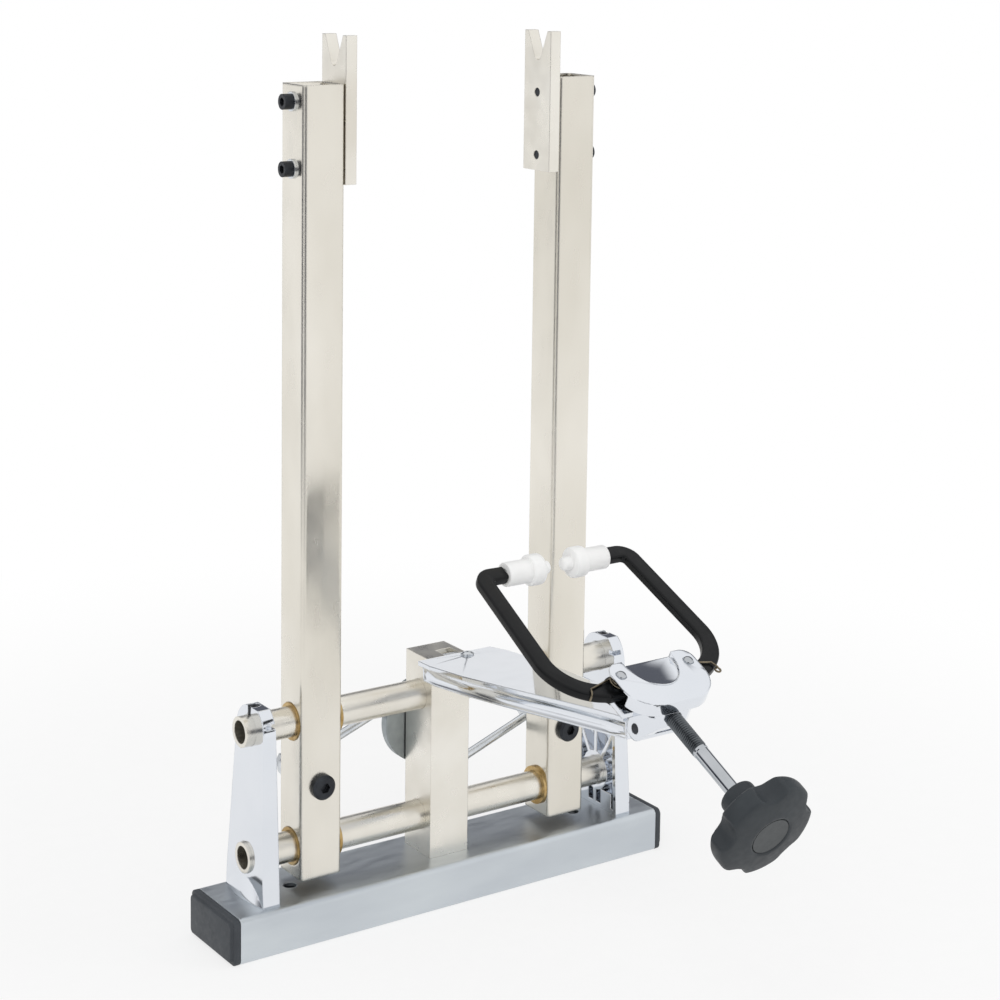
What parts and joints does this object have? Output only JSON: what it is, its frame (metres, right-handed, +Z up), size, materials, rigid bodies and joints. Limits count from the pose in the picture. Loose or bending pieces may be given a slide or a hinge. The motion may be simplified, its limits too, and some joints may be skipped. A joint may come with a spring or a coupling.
{
  "type": "bicycle wheel truing stand",
  "caption": "Wheel truing stand with self-centring uprights on guide tubes, V seats for the axle and a swinging screw-adjusted caliper with nylon-tipped fingers.",
  "frame": {"origin": "centre of the base tube's underside, on the bench", "axes": "+X along the base to the right, +Y away from the mechanic, +Z up"},
  "size_m": [0.344, 0.3878, 0.584],
  "materials": {
    "zinc_base": "blue zinc plate, satin",
    "black_plastic": "moulded, fine grain",
    "chrome_casting": "bright chrome plate over steel",
    "black_steel": "black oxide",
    "nickel_plate": "nickel plate, satin, lightly stained",
    "bright_steel": "bright zinc plate",
    "zinc_casting": "cast, passivated zinc plate",
    "bronze": "sintered bronze",
    "black_enamel": "black powder coat",
    "nylon": "natural nylon, milky",
    "spring_wire": "oiled spring wire",
    "knob_plastic": "moulded, satin"
  },
  "bodies": {
    "base": {"base_tube": "zinc_base", "end_cap_left": "black_plastic", "end_cap_right": "black_plastic", "bracket_left": "chrome_casting", "bracket_right": "chrome_casting", "bracket_bolts": "black_steel", "collar_screws": "black_steel", "guide_tube_lower": "nickel_plate", "guide_tube_upper": "nickel_plate", "centre_block": "nickel_plate", "block_bolts": "black_steel", "hinge_pin": "bright_steel", "rocker_screw": "bright_steel"},
    "carriage_left": {"upright_left": "nickel_plate", "bushings_left": "bronze", "axle_seat_left": "nickel_plate", "seat_screws_left": "black_steel", "seat_washers_left": "bright_steel", "link_bolt_left": "black_steel", "link_spacer_left": "bright_steel", "link_nut_left": "bright_steel"},
    "carriage_right": {"upright_right": "nickel_plate", "bushings_right": "bronze", "axle_seat_right": "nickel_plate", "seat_screws_right": "black_steel", "seat_washers_right": "bright_steel", "link_bolt_right": "black_steel", "link_spacer_right": "bright_steel", "link_nut_right": "bright_steel", "side_screw": "nickel_plate"},
    "rocker": {"rocker": "zinc_casting"},
    "link_left": {"link_left": "bright_steel"},
    "link_right": {"link_right": "bright_steel"},
    "arm": {"caliper_arm": "chrome_casting", "hinge_tongue": "bright_steel", "arm_screw": "bright_steel"},
    "head": {"head_pivot_pin": "bright_steel", "head_body": "chrome_casting", "head_cover": "chrome_casting", "finger_pin_left": "bright_steel", "finger_pin_right": "bright_steel"},
    "finger_left": {"finger_left": "black_enamel", "tip_left": "nylon", "spring_left": "spring_wire"},
    "finger_right": {"finger_right": "black_enamel", "tip_right": "nylon", "spring_right": "spring_wire"},
    "wedge": {"wedge": "bright_steel"},
    "knob": {"adjusting_screw": "black_steel", "knob": "knob_plastic", "knob_cap": "knob_plastic"}
  },
  "joints": [
    {"name": "slide_left", "type": "slide", "parent": "base", "child": "carriage_left", "axis": [1, 0, 0], "range_m": [-0.012, 0.022]},
    {"name": "slide_right", "type": "slide", "parent": "base", "child": "carriage_right", "axis": [-1, 0, 0], "range_m": [-0.012, 0.022]},
    {"name": "rocker_hinge", "type": "hinge", "parent": "base", "child": "rocker", "pos_m": [0, 0.0215, 0.098], "axis": [0, 1, 0], "range_deg": [-18.04, 33.07]},
    {"name": "link_left_hinge", "type": "hinge", "parent": "carriage_left", "child": "link_left", "pos_m": [-0.098, 0.028, 0.098], "axis": [0, -1, 0], "range_deg": [-1.59, 2.92]},
    {"name": "link_right_hinge", "type": "hinge", "parent": "carriage_right", "child": "link_right", "pos_m": [0.098, 0.028, 0.098], "axis": [0, -1, 0], "range_deg": [-1.59, 2.92]},
    {"name": "arm_hinge", "type": "hinge", "parent": "base", "child": "arm", "pos_m": [0.005, -0.004, 0.159], "axis": [-1, 0, 0], "range_deg": [-8, 42]},
    {"name": "head_hinge", "type": "hinge", "parent": "arm", "child": "head", "pos_m": [0, -0.2356, 0.18928], "axis": [1, 0, 0], "range_deg": [-12, 12]},
    {"name": "knob_turn", "type": "hinge", "parent": "wedge", "child": "knob", "pos_m": [0, -0.24152, 0.20196], "axis": [0, -0.9063, -0.4226], "range_deg": [-170, 970]},
    {"name": "screw_slide", "type": "slide", "parent": "head", "child": "wedge", "axis": [0, -0.9063, -0.4226], "range_m": [-0.00071, 0.00404]},
    {"name": "finger_left_hinge", "type": "hinge", "parent": "head", "child": "finger_left", "pos_m": [-0.025, -0.22913, 0.21326], "axis": [0, -0.4226, 0.9063], "range_deg": [-1.58, 9.01]},
    {"name": "finger_right_hinge", "type": "hinge", "parent": "head", "child": "finger_right", "pos_m": [0.025, -0.22913, 0.21326], "axis": [0, 0.4226, -0.9063], "range_deg": [-1.58, 9.01]}
  ],
  "couplings": [
    {"joint": "slide_right", "follows": "slide_left", "ratio": 1},
    {"joint": "rocker_hinge", "follows": "slide_left", "rad_per_m": 26.23},
    {"joint": "link_left_hinge", "follows": "slide_left", "rad_per_m": 2.309},
    {"joint": "link_right_hinge", "follows": "slide_left", "rad_per_m": 2.309},
    {"joint": "screw_slide", "follows": "knob_turn", "m_per_rad": 0.00023873},
    {"joint": "finger_left_hinge", "follows": "knob_turn", "ratio": 0.0092857},
    {"joint": "finger_right_hinge", "follows": "knob_turn", "ratio": 0.0092857}
  ]
}
